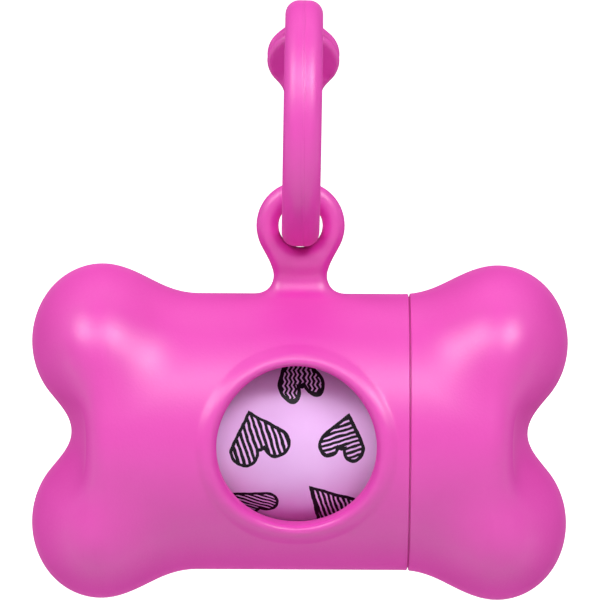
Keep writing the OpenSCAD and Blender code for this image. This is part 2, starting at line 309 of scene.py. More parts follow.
bits = rough_half(-1, -(SEAM_X + PAST_SEAM))
bits.append(clay_cylinder(BEAD_CREST + BEAD_DISC_OUT, BEAD_DISC_T,
                          CASE_AT + [WINDOW_X, -CASE_R + BEAD_DISC_SINK, 0], "Y"))
bpy.ops.mesh.primitive_torus_add(major_radius=EYE_MID * MM, minor_radius=EYE_RIM_R * MM,
                                 major_segments=64, minor_segments=24,
                                 location=(CASE_AT + [0, 0, EYE_Z]) * MM, rotation=TURN_TO["Y"])
bits.append(bpy.context.object)
bpy.ops.mesh.primitive_cube_add(size=MM, location=(CASE_AT + [0, 0, NECK_BLOCK_Z]) * MM,
                                scale=(NECK_W, NECK_T, NECK_BLOCK_H))
bits.append(bpy.context.object)
case_skin = join_pieces("case_skin_soft", *bits)
even_skin(case_skin, VOXEL)
hole = clay_cylinder(WINDOW_R, WINDOW_TOOL_LEN, CASE_AT + [WINDOW_X, WINDOW_TOOL_Y, 0], "Y")
cut_with(case_skin, settle_place(hole))
even_skin(case_skin, VOXEL)
print(case_skin.name, "clay has", len(case_skin.data.vertices), "points")

# %% Trim both halves near the seam and press them
def trim_mouth(thing, x, side):
    """Cuts away all that lies beyond x; side is +1 where the mouth looks towards +X."""
    choose(thing)
    bpy.ops.object.mode_set(mode="EDIT")
    bpy.ops.mesh.select_all(action="SELECT")
    bpy.ops.mesh.bisect(plane_co=((CASE_AT[0] + x) * MM, 0, 0), plane_no=(1, 0, 0), threshold=1e-7,
                        clear_outer=side > 0, clear_inner=side < 0)
    bpy.ops.mesh.select_all(action="DESELECT")
    bpy.ops.object.mode_set(mode="OBJECT")

CASE_SPARE, CAP_SPARE = 1.5, 1.3             # left past the seam until it is cut for good

trim_mouth(case_skin, SEAM_X + CASE_SPARE, 1)
press_into(case_skin, case_gap, CASE_AT)

cap_skin = join_pieces("cap_skin_soft", *rough_half(1, SEAM_X - PAST_SEAM))
even_skin(cap_skin, VOXEL)
trim_mouth(cap_skin, SEAM_X - CAP_SPARE, -1)
press_into(cap_skin, bone_gap, CASE_AT)

# %% [markdown]
# ## The seam
# Both halves are cut square where they meet. A real moulding has no knife edge there, so the cut's
# border is drawn out in small steps round a quarter circle, which is what makes the seam a soft
# dark line. The cap's rim also has a land half a millimetre further in that all but touches the
# case, so that no light passes through the joint. The filled face then becomes the rim when the
# inside is hollowed out.

# %% Cut at the seam and round the mouth's edge
SEAM_ROUND, ROUND_STEPS = 0.22, 4
LAND_GAP, AT_CUT = 0.03, 0.002               # mm: left between land and case; what lies on the cut
LAND_IN = 1 - 0.5 / CASE_R                   # the land's size, as a share of the bone's

def draw_out(shift, scale):
    """Extrudes the selected border by shift along X and scales it about the bone's axis."""
    bpy.ops.mesh.extrude_region_move(TRANSFORM_OT_translate={"value": (shift * MM, 0, 0)})
    bpy.ops.transform.resize(value=(1, scale, scale), center_override=Vector(CASE_AT * MM))

def round_mouth(thing, x, side, land=0.0):
    cut = CASE_AT[0] + x - side * SEAM_ROUND
    trim_mouth(thing, x - side * SEAM_ROUND, side)
    for edge in thing.data.edges:
        a, b = (thing.data.vertices[i].co for i in edge.vertices)
        edge.select = bool(abs(a.x / MM - cut) < AT_CUT and abs(b.x / MM - cut) < AT_CUT)
    bpy.ops.object.mode_set(mode="EDIT")
    bpy.context.tool_settings.mesh_select_mode = (False, True, False)
    done, shrunk = 0.0, 1.0
    for step in range(1, ROUND_STEPS + 1):
        angle = math.pi / 2 * step / ROUND_STEPS
        target = 1 - (1 - math.cos(angle)) * SEAM_ROUND / CASE_R
        draw_out((math.sin(angle) * SEAM_ROUND - done) * side, target / shrunk)
        done, shrunk = math.sin(angle) * SEAM_ROUND, target
    if land:
        draw_out(0.0, LAND_IN / shrunk)
        draw_out(land * side, 1.0)
    bpy.ops.mesh.edge_face_add()
    bpy.ops.mesh.select_all(action="SELECT")
    bpy.ops.mesh.normals_make_consistent(inside=False)
    bpy.context.tool_settings.mesh_select_mode = (True, False, False)
    bpy.ops.object.mode_set(mode="OBJECT")
    most = max(len(face.vertices) for face in thing.data.polygons)
    print(thing.name, "mouth rounded, its largest face has", most, "sides")

round_mouth(case_skin, SEAM_X, 1)
round_mouth(cap_skin, SEAM_X + SEAM_GAP, -1, land=SEAM_GAP - LAND_GAP)

# %% [markdown]
# ## Hollowing
# The inside is one more form of the same formula, sunk by the wall's thickness. A ball is blown up
# like a balloon, ray by ray, until it meets that inner surface, and the half is cut with it. Round
# the window a collar of the wall is left, down to the barrel that lies inside.

# %% The hollow of one half
BALLOON_R, BALLOON_IN = 12, 8                # its first radius, and how far short of the lobe it is
MOUTH_FALL = 0.8                             # spreads the rings of points along the straight end
REACH_MAX, HALVINGS = 40.0, 24               # mm that a ray may reach, and steps to find the wall

def hollow_core(side, mouth):
    """The inside of one half: mouth is where its straight end lies, beyond the seam."""
    start_clean()
    bpy.ops.mesh.primitive_uv_sphere_add(segments=72, ring_count=48, radius=BALLOON_R * MM,
                                         rotation=TURN_TO["X"])
    core = settle_place(bpy.context.object)
    rays = points_of(core)
    rays /= np.linalg.norm(rays, axis=1)[:, None]
    ahead = rays[:, 0] * side
    far = LOBE_X - BALLOON_IN
    base = np.zeros_like(rays)
    base[:, 0] = side * far
    back = ahead < 0
    base[back, 0] = side * (far + (mouth - far) * (-ahead[back]) ** MOUTH_FALL)
    rays[back, 0] = 0
    rays /= np.maximum(np.linalg.norm(rays, axis=1)[:, None], 1e-9)
    low, high = np.full(len(rays), 0.0), np.full(len(rays), REACH_MAX)
    for _ in range(HALVINGS):
        mid = (low + high) / 2
        inside = bone_gap(base + mid[:, None] * rays) < -SKIN
        low, high = np.where(inside, mid, low), np.where(inside, high, mid)
    grown = base + low[:, None] * rays
    grown[ahead < -0.999] = [side * mouth, 0, 0]
    move_points(core, (grown + CASE_AT) * MM)
    return core

# %% Hollow both halves
BARREL_OUT = 17.9                            # the collar reaches in to here
COLLAR_WALL, COLLAR_LEN, COLLAR_Y, INNER_LEN = 1.5, 16, -16, 60
OPEN_END = 4                                 # the hollow runs on this far past the seam
case_core = hollow_core(-1, -(SEAM_X + OPEN_END))
cap_core = hollow_core(1, SEAM_X - OPEN_END)
collar = clay_cylinder(WINDOW_R + COLLAR_WALL, COLLAR_LEN, CASE_AT + [WINDOW_X, COLLAR_Y, 0], "Y")
inner = clay_cylinder(BARREL_OUT, INNER_LEN, CASE_AT)
settle_place(collar)
settle_place(inner)
cut_with(collar, inner)
cut_with(case_core, collar)
cut_with(case_skin, case_core)
cut_with(cap_skin, cap_core)
for skin in (case_skin, cap_skin):
    soften(skin, 50)

# %% [markdown]
# ## The strap
# The strap is one soft band bent into a ring. Its two round ends lap at the back: a stud on the
# outer one snaps into the hole of the inner one. It is made in two pieces that meet inside the
# eye: the band with the flap that opens, and the tail with the hole. Both are pressed onto
# distances, as the bone is.

# %% Where the strap and its stud lie
def strap_frame(p):
    """Points as the strap sees them, upright, because it leans a little to one side."""
    c, s = math.cos(STRAP_LEAN), math.sin(STRAP_LEAN)
    return np.stack([c * p[:, 0] - s * p[:, 2], p[:, 1], s * p[:, 0] + c * p[:, 2]], 1)

stud_turn = math.radians(STUD_ANGLE)
STUD_OUT = np.array([0, math.sin(stud_turn), -math.cos(stud_turn)])
STUD_ALONG = np.array([0, math.cos(stud_turn), math.sin(stud_turn)])

def stud_place(q):
    """How far along the strap past the stud, out from the ring's centre, and off the axis."""
    along, out = q @ STUD_ALONG, q @ STUD_OUT
    return along, out, np.hypot(along, q[:, 0])

print("the stud stands", STUD_ANGLE, "degrees round the ring, towards", STUD_OUT.round(3))

# %% Distances of the band, the tail and their discs
LAP = STRAP_MID + 0.05                       # where the two ends lie on each other
HALVED = FLAP_LEN - 4.0                      # up to here past the stud only the outer half is left
HOLE_R, DISC_ROOM, STUD_ROOT = STUD_R + 0.3, 0.3, 0.8
DISC_EDGE, END_ROUND, DISC_BLEND = 0.75, 1.5, 1.6
CUT_BLEND, STUD_BLEND = 0.5, 0.6
NEAR_OUT, NEAR_ALONG = 5, 9                  # the ends' forms are cut only this near the stud

def band_gap(q):
    r = np.hypot(q[:, 1], q[:, 2]) - STRAP_MID
    flat = np.maximum(abs(q[:, 0]) - (STRAP_W - STRAP_T) / 2, 0)
    return np.hypot(flat, r) - STRAP_T / 2 - SNUG

def disc_gap(off, out, low, high):
    a = off - (DISC_R - DISC_EDGE)
    b = abs(out - (low + high) / 2) - ((high - low) / 2 - DISC_EDGE)
    return box_gap(a, b) - DISC_EDGE

def strap_band_gap(p):
    q = strap_frame(p)
    along, out, off = stud_place(q)
    near = (out > NEAR_OUT) & (along > -NEAR_ALONG)
    band = band_gap(q)
    trimmed = soft_max(band, np.minimum(LAP - out, HALVED - along), CUT_BLEND)
    trimmed = soft_max(trimmed, STUD_R + END_ROUND - along, END_ROUND)
    band = np.where(near, trimmed, band)
    disc = disc_gap(off, out, LAP, LAP + DISC_T)
    nose = np.hypot(off, np.maximum(0, STRAP_MID - STUD_LEN + STUD_R - out)) - STUD_R
    stud = np.maximum(nose, out - STRAP_MID - STUD_ROOT)
    return soft_min(soft_min(band, disc, DISC_BLEND), stud, STUD_BLEND)

def strap_tail_gap(p):
    q = strap_frame(p)
    along, out, off = stud_place(q)
    near = (out > NEAR_OUT) & (along < NEAR_ALONG)
    band = band_gap(q)
    trimmed = soft_max(band, np.minimum(out - STRAP_MID, DISC_R + DISC_ROOM - off), CUT_BLEND)
    trimmed = soft_max(trimmed, along + STUD_R + END_ROUND, END_ROUND)
    band = np.where(near, trimmed, band)
    whole = soft_min(band, disc_gap(off, out, STRAP_MID - DISC_T, STRAP_MID), DISC_BLEND)
    return np.where(near, soft_max(whole, HOLE_R - off, CUT_BLEND), whole)

# %% [markdown]
# ### Spinning the strap
# A band of one section is a job for Spin: a ring of points at the strap's lowest place is turned
# about the loop's centre. With no window open, positive turns run to the front here.

# %% Spin a band and stand a disc on it
def spun_band(name, turn):
    start_clean()
    bpy.ops.mesh.primitive_circle_add(vertices=40, radius=STRAP_T / 2 * MM,
                                      location=(0, 0, -STRAP_MID * MM), rotation=TURN_TO["Y"])
    band = bpy.context.object
    band.scale = (STRAP_W / STRAP_T, 1, 1)
    settle_place(band)
    band.name = name
    bpy.ops.object.mode_set(mode="EDIT")
    bpy.ops.mesh.select_all(action="SELECT")
    bpy.ops.mesh.spin(steps=max(8, int(abs(turn) / 3)), angle=math.radians(turn), center=(0, 0, 0),
                      axis=(1, 0, 0))
    bpy.ops.mesh.select_all(action="SELECT")
    bpy.ops.mesh.remove_doubles(threshold=1e-6)
    bpy.ops.mesh.select_all(action="DESELECT")
    bpy.ops.mesh.select_non_manifold()
    bpy.ops.mesh.fill_holes(sides=0)
    bpy.ops.mesh.select_all(action="SELECT")
    bpy.ops.mesh.normals_make_consistent(inside=False)
    bpy.ops.object.mode_set(mode="OBJECT")
    return band

def disc_on_strap(low, high, radius):
    turn = Matrix.Rotation(math.radians(180 + STUD_ANGLE), 4, "X")
    disc = clay_cylinder(radius, high - low, (0, 0, (low + high) / 2), "Z")
    disc.matrix_world = turn @ disc.matrix_world
    return settle_place(disc)

# %% Make the band and the tail
BAND_TURN, TAIL_TURN = 226, -110             # degrees each one runs round the ring
NOSE_SINK, ROOT_UP, STUD_THIN = 0.3, 0.5, 0.2    # the stud's clay against its final form
HOLE_FROM, HOLE_TO = 5, 25                   # mm from the ring's middle, well past both faces
STRAP_VOXEL = 0.36

band = spun_band("strap_band_soft", BAND_TURN)
strap_band = join_pieces("strap_band_soft", band, disc_on_strap(LAP, LAP + DISC_T, DISC_R),
                         disc_on_strap(STRAP_MID - STUD_LEN + NOSE_SINK, LAP + ROOT_UP,
                                       STUD_R - STUD_THIN))
tail = spun_band("strap_tail_soft", TAIL_TURN)
strap_tail = join_pieces("strap_tail_soft", tail,
                         disc_on_strap(STRAP_MID - DISC_T, STRAP_MID, DISC_R))
cut_with(strap_tail, disc_on_strap(HOLE_FROM, HOLE_TO, HOLE_R))
for piece, gap in ((strap_band, strap_band_gap), (strap_tail, strap_tail_gap)):
    even_skin(piece, STRAP_VOXEL)
    press_into(piece, gap, np.zeros(3), even=1)
    soften(piece, 50)

# %% [markdown]
# ## The roll of bags
# Bags come folded lengthways, joined at perforations and wound on a cardboard core. Three things
# tell the eye it is a roll: the outermost bag lies a little loose in soft waves, its free edge is
# toothed where it was torn off, and the ends show the wound layers as fine rings. The outermost
# bag is a grid, whose points are laid round the roll by a formula, so that its own map stays flat
# for the print.

# %% The leading bag: a sheet wrapped round the roll
FILM_EDGE, FILM_WRAP = 35.0, 325.0           # degrees: where the loose edge lies, and the wrap
FILM_LEN = 59                                # mm along the roll
TOOTH_EVERY, TOOTH_DEEP = 1.6, 0.7           # mm, the torn perforation
WAVE_MM, FILM_THICK = 0.08, 0.06
FILM_SINK, CLING, END_ROOM = 0.13, 0.05, 0.1     # under the roll's radius; at the edge; at the ends
GRID_ALONG, GRID_ROUND = 236, 440
TOOTH_FADE, CLING_FADE = 120, 30             # both end after this part of the way round, as 1 / v

start_clean()
bpy.ops.mesh.primitive_grid_add(x_subdivisions=GRID_ALONG, y_subdivisions=GRID_ROUND, size=1)
leading_bag = bpy.context.object
leading_bag.name = leading_bag.data.name = "leading_bag_film"
flat = points_of(leading_bag)                # u runs along the roll, v round it
u, v = flat[:, 0] + 0.5, flat[:, 1] + 0.5
tooth = abs((u * FILM_LEN / TOOTH_EVERY) % 1 - 0.5) * TOOTH_DEEP
round_mm = v * ROLL_R * math.radians(FILM_WRAP) + tooth * np.clip(1 - v * TOOTH_FADE, 0, 1)
phi = math.radians(-FILM_EDGE) - round_mm / ROLL_R
along = (u - 0.5) * 2 * (ROLL_HALF - END_ROOM)
wave = (np.sin(phi * 7 + 1.3 * np.sin(along * 0.21)) * 0.5
        + np.sin(phi * 15 + along * 0.37 + 1) * 0.3
        + np.sin(phi * 4 - along * 0.13) * 0.4 + np.sin(along * 0.83 + phi * 2) * 0.12)
radius = ROLL_R - FILM_SINK + WAVE_MM * wave
radius -= CLING * np.clip(1 - v * CLING_FADE, 0, 1)  # the last few millimetres cling to the roll
rolled = np.stack([along, radius * np.sin(phi), -radius * np.cos(phi)], 1)
move_points(leading_bag, (rolled + ROLL_AT) * MM)
bake_modifier(leading_bag, "SOLIDIFY", thickness=FILM_THICK * MM, offset=-1)
soften(leading_bag, 60)

# %% [markdown]
# ### The wound roll
# The roll is a cylinder whose ends are inset again and again, one inset for a few layers of film,
# and then bridged through for the core. Each ring sits a little deeper or higher than the next,
# by a seeded random draw, as layers do that weren't wound quite true.

# %% The wound roll: a tube whose ends are stepped like wound layers
def plain_tube(name, out_r, step, ring_count):
    """A cylinder along X with ring_count insets of its ends, and a bore through the last."""
    start_clean()
    bpy.ops.mesh.primitive_cylinder_add(vertices=160, radius=out_r * MM, depth=2 * ROLL_HALF * MM,
                                        rotation=TURN_TO["X"], end_fill_type="NGON")
    tube = settle_place(bpy.context.object)
    tube.name = tube.data.name = name
    bpy.ops.object.mode_set(mode="EDIT")
    bpy.ops.mesh.select_all(action="DESELECT")
    bpy.ops.object.mode_set(mode="OBJECT")
    for face in tube.data.polygons:
        face.select = abs(face.normal.x) > 0.9
    bpy.ops.object.mode_set(mode="EDIT")
    bpy.context.tool_settings.mesh_select_mode = (False, False, True)
    for _ in range(ring_count):
        bpy.ops.mesh.inset(thickness=step * MM, use_individual=True)
    bpy.ops.mesh.bridge_edge_loops()
    bpy.ops.mesh.select_all(action="SELECT")
    bpy.ops.mesh.normals_make_consistent(inside=False)
    bpy.context.tool_settings.mesh_select_mode = (True, False, False)
    bpy.ops.object.mode_set(mode="OBJECT")
    return tube

WOUND_OUT, WOUND_IN, RINGS = 15.72, 8.08, 24
RIPPLE, RIPPLE_SEED = 0.35, 7                # mm that a ring may sit deeper than the end

ring_step = (WOUND_OUT - WOUND_IN) / RINGS
bag_roll = plain_tube("bag_roll_film", WOUND_OUT, ring_step, RINGS)
p = points_of(bag_roll) / MM
layer = np.round((np.hypot(p[:, 1], p[:, 2]) - WOUND_IN) / ring_step).astype(int)
offsets = np.random.default_rng(RIPPLE_SEED).uniform(0, RIPPLE, RINGS + 2)
offsets[RINGS] = RIPPLE * 0.5
angle = np.arctan2(p[:, 1], p[:, 2])
dip = offsets[np.clip(layer, 0, RINGS + 1)] + 0.15 * RIPPLE * np.sin(angle * 3 + layer)
p[:, 0] -= np.sign(p[:, 0]) * np.clip(dip, 0, None)
move_points(bag_roll, (p + ROLL_AT) * MM)
soften(bag_roll, 35)

# %% [markdown]
# ## Materials
# Each material is named for what it is. Colours are given as the hex values seen on screen and
# turned to linear light by one function. Another adds a node with its settings and links.

# %% Colour and node helpers
def linear(hex_colour):
    parts = [int(hex_colour[i:i + 2], 16) / 255 for i in (1, 3, 5)]
    light = [c / 12.92 if c <= 0.04045 else ((c + 0.055) / 1.055) ** 2.4 for c in parts]
    return (*light, 1.0)

def new_material(name, **constants):
    material = bpy.data.materials.new(name)
    material.use_nodes = True
    shader = material.node_tree.nodes["Principled BSDF"]
    for socket, value in constants.items():
        shader.inputs[socket.replace("_", " ")].default_value = value
    print("material", name)
    return material, material.node_tree, shader

def add(tree, kind, settings=None, **links):
    """Adds one node. links gives each input, by its name or as i and its number, a value or an
    output socket to join it to."""
    node = tree.nodes.new(kind)
    for key, value in (settings or {}).items():
        setattr(node, key, value)
    for key, value in links.items():
        by_number = key[0] == "i" and key[1:].isdigit()
        socket = node.inputs[int(key[1:]) if by_number else key.replace("_", " ")]
        if isinstance(value, bpy.types.NodeSocket):
            tree.links.new(value, socket)
        else:
            socket.default_value = value
    return node

def maths(tree, operation, *values):
    inputs = {f"i{i}": value for i, value in enumerate(values)}
    return add(tree, "ShaderNodeMath", {"operation": operation}, **inputs).outputs[0]

def between(tree, factor, low, high):
    """Mixes two colours, given in hex, by factor."""
    return add(tree, "ShaderNodeMix", {"data_type": "RGBA"}, Factor=factor,
               i6=linear(low), i7=linear(high)).outputs[2]

def bump_from(tree, shader, height, strength, metres):
    bump = add(tree, "ShaderNodeBump", Height=height, Strength=strength, Distance=metres)
    tree.links.new(bump.outputs["Normal"], shader.inputs["Normal"])

# %% [markdown]
# ### Satin silicone
# The skin and the strap are silicone rubber, moulded in a finely blasted tool: even colour
# through and through, a satin gloss broad enough to blur a lamp into a glow, and a grain of about
# a third of a millimetre. Along its edges such a blasted surface looks matt, because the grains
# stand in each other's way, so the roughness grows where the surface turns away. The strap also
# has the fine ridge that the two halves of its mould leave along its middle.

# %% Satin pink silicone
PARTING_X = 0.15                             # mm, the ridge lies just beside the strap's middle
RIDGE_IN, RIDGE_OUT, RIDGE_UP = 0.05, 0.3, 4.0

def silicone_look(name, parting_line=False):
    material, tree, shader = new_material(name, IOR=1.55, Specular_IOR_Level=1.0)
    place = add(tree, "ShaderNodeTexCoord").outputs["Object"]
    mottle = add(tree, "ShaderNodeTexNoise", Vector=place, Scale=90.0, Detail=3.0, Roughness=0.6)
    tree.links.new(between(tree, mottle.outputs["Fac"], "#D01AA1", "#D522A7"),
                   shader.inputs["Base Color"])
    grain = add(tree, "ShaderNodeTexNoise", Vector=place, Scale=2800.0, Detail=2.0, Roughness=0.6)
    rough = add(tree, "ShaderNodeMapRange", Value=grain.outputs["Fac"], To_Min=0.37, To_Max=0.53)
    edge_on = add(tree, "ShaderNodeLayerWeight", Blend=0.5)
    matt = add(tree, "ShaderNodeMapRange", Value=edge_on.outputs["Facing"],
               From_Min=0.3, From_Max=0.75, To_Min=0.0, To_Max=0.57)
    tree.links.new(maths(tree, "ADD", rough.outputs["Result"], matt.outputs["Result"]),
                   shader.inputs["Roughness"])
    height = grain.outputs["Fac"]
    if parting_line:
        x = add(tree, "ShaderNodeSeparateXYZ", Vector=place).outputs["X"]
        aside = maths(tree, "ABSOLUTE", maths(tree, "SUBTRACT", x, PARTING_X * MM))
        ridge = add(tree, "ShaderNodeMapRange", {"interpolation_type": "SMOOTHSTEP"}, Value=aside,
                    From_Min=RIDGE_IN * MM, From_Max=RIDGE_OUT * MM, To_Min=1.0, To_Max=0.0)
        height = maths(tree, "MULTIPLY_ADD", ridge.outputs["Result"], RIDGE_UP, height)
    bump_from(tree, shader, height, 0.5, 0.00004)
    return material

silicone = silicone_look("silicone_satin_pink")
strap_silicone = silicone_look("silicone_satin_pink_parted", parting_line=True)

# %% [markdown]
# ### Moulded ABS
# The barrel and the cap's cup are injection-moulded ABS, dyed to match: glossier than the skin and
# a shade deeper.

# %% Pink ABS of the barrel and the cup
abs_pink, tree, shader = new_material("abs_moulded_pink", IOR=1.53)
place = add(tree, "ShaderNodeTexCoord").outputs["Object"]
flow = add(tree, "ShaderNodeTexNoise", Vector=place, Scale=60.0, Detail=2.0)
tree.links.new(between(tree, flow.outputs["Fac"], "#C92C93", "#D2369C"),
               shader.inputs["Base Color"])
rough = add(tree, "ShaderNodeMapRange", Value=flow.outputs["Fac"], To_Min=0.22, To_Max=0.34)
tree.links.new(rough.outputs["Result"], shader.inputs["Roughness"])

# %% [markdown]
# ### Printed film
# The bags are thin polyethylene, lilac from many layers of a tinted film, with hearts drawn on
# them in near-black ink and hatched inside. Half a heart is a round lobe joined to the wedge
# below it, and its mirror image makes the other half: the wedge lies between the line from the
# tip to the outside of the lobe and the chord from the notch to the middle of the lobe. Both are
# distances, so one comparison gives the shape and another the pen's line round it. A little noise
# moves the pen off its course, as a hand does. The print lies on the sheet's own map, in
# millimetres, and repeats along the roll and round it.

# %% The outline of one heart
film, tree, shader = new_material("polyethylene_film_lilac", Roughness=0.34, IOR=1.5,
                                  Specular_IOR_Level=0.15)
LOBE_OUT, LOBE_UP, LOBE_ROUND = 0.53, 1.21, 0.47     # middle and radius of a lobe, in half widths
NOTCH_UP = 1.33                                      # height of the notch over the tip
wedge_lean = (math.atan2(LOBE_OUT, LOBE_UP)
              + math.asin(LOBE_ROUND / math.hypot(LOBE_OUT, LOBE_UP)))
wedge_end = math.sqrt(LOBE_OUT ** 2 + LOBE_UP ** 2 - LOBE_ROUND ** 2)
chord_tilt = math.atan2(NOTCH_UP - LOBE_UP, LOBE_OUT)

def heart_edge(tree, out, up):
    """Distance from a heart's edge, below zero inside; out and up count from its tip."""
    side = maths(tree, "SUBTRACT", out, LOBE_OUT)
    rise = maths(tree, "SUBTRACT", up, LOBE_UP)
    off = maths(tree, "MULTIPLY_ADD", side, side, maths(tree, "MULTIPLY", rise, rise))
    lobe = maths(tree, "SUBTRACT", maths(tree, "SQRT", off), LOBE_ROUND)
    line = maths(tree, "MULTIPLY_ADD", out, math.cos(wedge_lean),
                 maths(tree, "MULTIPLY", up, -math.sin(wedge_lean)))
    chord = maths(tree, "MULTIPLY_ADD", out, math.sin(chord_tilt),
                  maths(tree, "MULTIPLY", rise, math.cos(chord_tilt)))
    chord = maths(tree, "SUBTRACT", chord, math.sin(chord_tilt) * LOBE_OUT)
    touch = maths(tree, "MULTIPLY_ADD", out, math.sin(wedge_lean),
                  maths(tree, "MULTIPLY_ADD", up, math.cos(wedge_lean), -wedge_end))
    wedge = maths(tree, "MAXIMUM", line, maths(tree, "MAXIMUM", chord, touch))
    return maths(tree, "MINIMUM", lobe, wedge)

# %% The drawing of one heart
REPEAT_X, REPEAT_Y = 38.0, 33.0                      # mm, along the roll and round it
PEN_MM = 0.5                                         # width of the outline
HATCH_SHARE = 0.3                                    # the higher, the thicker the hatching's lines
ZIGZAG_SLOPE = 0.5

def heart_drawing(tree, x, y, heart):
    """Two masks of one heart: its whole shape, and the pale gaps of its hatching."""
    tip_x, tip_y, size, tall, turn, hatch, spacing, zigzag = heart
    dx = maths(tree, "WRAP", maths(tree, "SUBTRACT", x, tip_x), REPEAT_X / 2, -REPEAT_X / 2)
    dy = maths(tree, "WRAP", maths(tree, "SUBTRACT", y, tip_y), REPEAT_Y / 2, -REPEAT_Y / 2)
    c, s = math.cos(math.radians(turn)) / size, math.sin(math.radians(turn)) / size
    across = maths(tree, "MULTIPLY_ADD", dx, c, maths(tree, "MULTIPLY", dy, s))
    out = maths(tree, "ABSOLUTE", across)
    up = maths(tree, "MULTIPLY_ADD", dx, -s / tall, maths(tree, "MULTIPLY", dy, c / tall))
    edge = heart_edge(tree, out, up)
    shape = maths(tree, "LESS_THAN", edge, 0.0)
    inside = maths(tree, "LESS_THAN", edge, -PEN_MM / size)
    hc, hs = math.cos(math.radians(hatch)), math.sin(math.radians(hatch))
    ruler = maths(tree, "MULTIPLY_ADD", dx, -hs, maths(tree, "MULTIPLY", dy, hc))
    if zigzag:
        along = maths(tree, "MULTIPLY_ADD", dx, hc, maths(tree, "MULTIPLY", dy, hs))
        swing = maths(tree, "PINGPONG", along, zigzag)
        ruler = maths(tree, "MULTIPLY_ADD", swing, ZIGZAG_SLOPE, ruler)
    lines = maths(tree, "SINE", maths(tree, "MULTIPLY", ruler, 2 * math.pi / spacing))
    gaps = maths(tree, "GREATER_THAN", lines, HATCH_SHARE)
    return shape, maths(tree, "MULTIPLY", inside, gaps)

# %% The print: where the hearts lie on the sheet, in mm
# tip x and y in the repeat, half width, height factor, turn, then hatch turn, spacing and zigzag
HEARTS = [(21.4, 21.5, 4.9, 1.06, 198, 108, 0.84, 0), (37.3, 21.1, 3.7, 1.24, 168, 17, 0.74, 0),
          (27.5, 32.7, 3.7, 1.6, 198, 92, 0.72, 0.7), (31.1, 9.1, 4.2, 1.6, 221, 106, 0.72, 0),
          (18.9, 7.7, 4.3, 1.0, 228, 158, 0.60, 0), (10.5, 17.5, 4.2, 1.1, 160, 62, 0.76, 0),
          (12.0, 29.5, 4.2, 1.05, 212, 20, 0.80, 0.7), (8.5, 2.0, 3.6, 1.15, 20, 100, 0.74, 0)]
STRAY = 0.5                                          # mm that the hand strays, end to end
sheet_map = add(tree, "ShaderNodeUVMap")
sheet_mm = add(tree, "ShaderNodeMapping", Vector=sheet_map.outputs["UV"],
               Scale=(float(FILM_LEN), ROLL_R * math.radians(FILM_WRAP), 1.0)).outputs["Vector"]
hand = add(tree, "ShaderNodeTexNoise", Vector=sheet_mm, Scale=0.5, Detail=2.0)
drift = add(tree, "ShaderNodeVectorMath", {"operation": "MULTIPLY_ADD"}, i0=hand.outputs["Color"],
            i1=(STRAY, STRAY, 0.0), i2=sheet_mm)
pen = add(tree, "ShaderNodeSeparateXYZ", Vector=drift.outputs["Vector"])
pen_x, pen_y = (maths(tree, "FLOORED_MODULO",
                      maths(tree, "SUBTRACT", pen.outputs[axis], STRAY / 2), repeat)
                for axis, repeat in (("X", REPEAT_X), ("Y", REPEAT_Y)))
ink = None
for heart in HEARTS:
    shape, pale = heart_drawing(tree, pen_x, pen_y, heart)
    dark = maths(tree, "SUBTRACT", shape, pale)
    ink = dark if ink is None else maths(tree, "MAXIMUM", ink, dark)
print(len(HEARTS), "hearts drawn")

# %% The film under the print
place = add(tree, "ShaderNodeTexCoord").outputs["Object"]
cloud = add(tree, "ShaderNodeTexNoise", Vector=place, Scale=120.0, Detail=3.0)
lilac = between(tree, cloud.outputs["Fac"], "#DEACE8", "#E8BFF0")
printed = add(tree, "ShaderNodeMix", {"data_type": "RGBA"}, Factor=ink,
              i6=lilac, i7=linear("#0E0612"))
tree.links.new(printed.outputs[2], shader.inputs["Base Color"])
crease = add(tree, "ShaderNodeTexNoise", {"noise_type": "RIDGED_MULTIFRACTAL"}, Vector=place,
             Scale=180.0, Detail=3.0)
bump_from(tree, shader, crease.outputs["Fac"], 0.12, 0.0002)
print("film print has", len(tree.nodes), "nodes")

# %% [markdown]
# ### Wound film and cardboard
# Seen from its end, the roll shows its layers as rings of light and dark lilac, a third of a
# millimetre apart here because the real ones would be too fine to see. The core is wound from
# strips of grey-brown board, whose fibres lie along it.

# %% Wound film and cardboard
LAYER_MM = 0.32
wound, tree, shader = new_material("polyethylene_wound_lilac", Roughness=0.5, IOR=1.5)
place = add(tree, "ShaderNodeTexCoord").outputs["Object"]
centre = add(tree, "ShaderNodeMapping", Vector=place, Location=tuple(-ROLL_AT * MM))
split = add(tree, "ShaderNodeSeparateXYZ", Vector=centre.outputs["Vector"])
squares = [maths(tree, "MULTIPLY", split.outputs[axis], split.outputs[axis]) for axis in "YZ"]
from_axis = maths(tree, "SQRT", maths(tree, "ADD", *squares))
layers = maths(tree, "SINE", maths(tree, "MULTIPLY", from_axis, 2 * math.pi / (LAYER_MM * MM)))
ring_tint = add(tree, "ShaderNodeMapRange", Value=layers, From_Min=-1.0, From_Max=1.0)
tree.links.new(between(tree, ring_tint.outputs["Result"], "#B98FC9", "#E2C4EE"),
               shader.inputs["Base Color"])
bump_from(tree, shader, layers, 0.4, 0.00008)

card, tree, shader = new_material("cardboard_spiral_wound", Roughness=0.85, IOR=1.5)
place = add(tree, "ShaderNodeTexCoord").outputs["Object"]
stretch = add(tree, "ShaderNodeMapping", Vector=place, Scale=(0.3, 1.0, 1.0))
fibre = add(tree, "ShaderNodeTexNoise", Vector=stretch.outputs["Vector"], Scale=2500.0, Detail=4.0,
            Roughness=0.7)
tree.links.new(between(tree, fibre.outputs["Fac"], "#9C7C54", "#C9AC82"),
               shader.inputs["Base Color"])
bump_from(tree, shader, fibre.outputs["Fac"], 0.4, 0.00005)

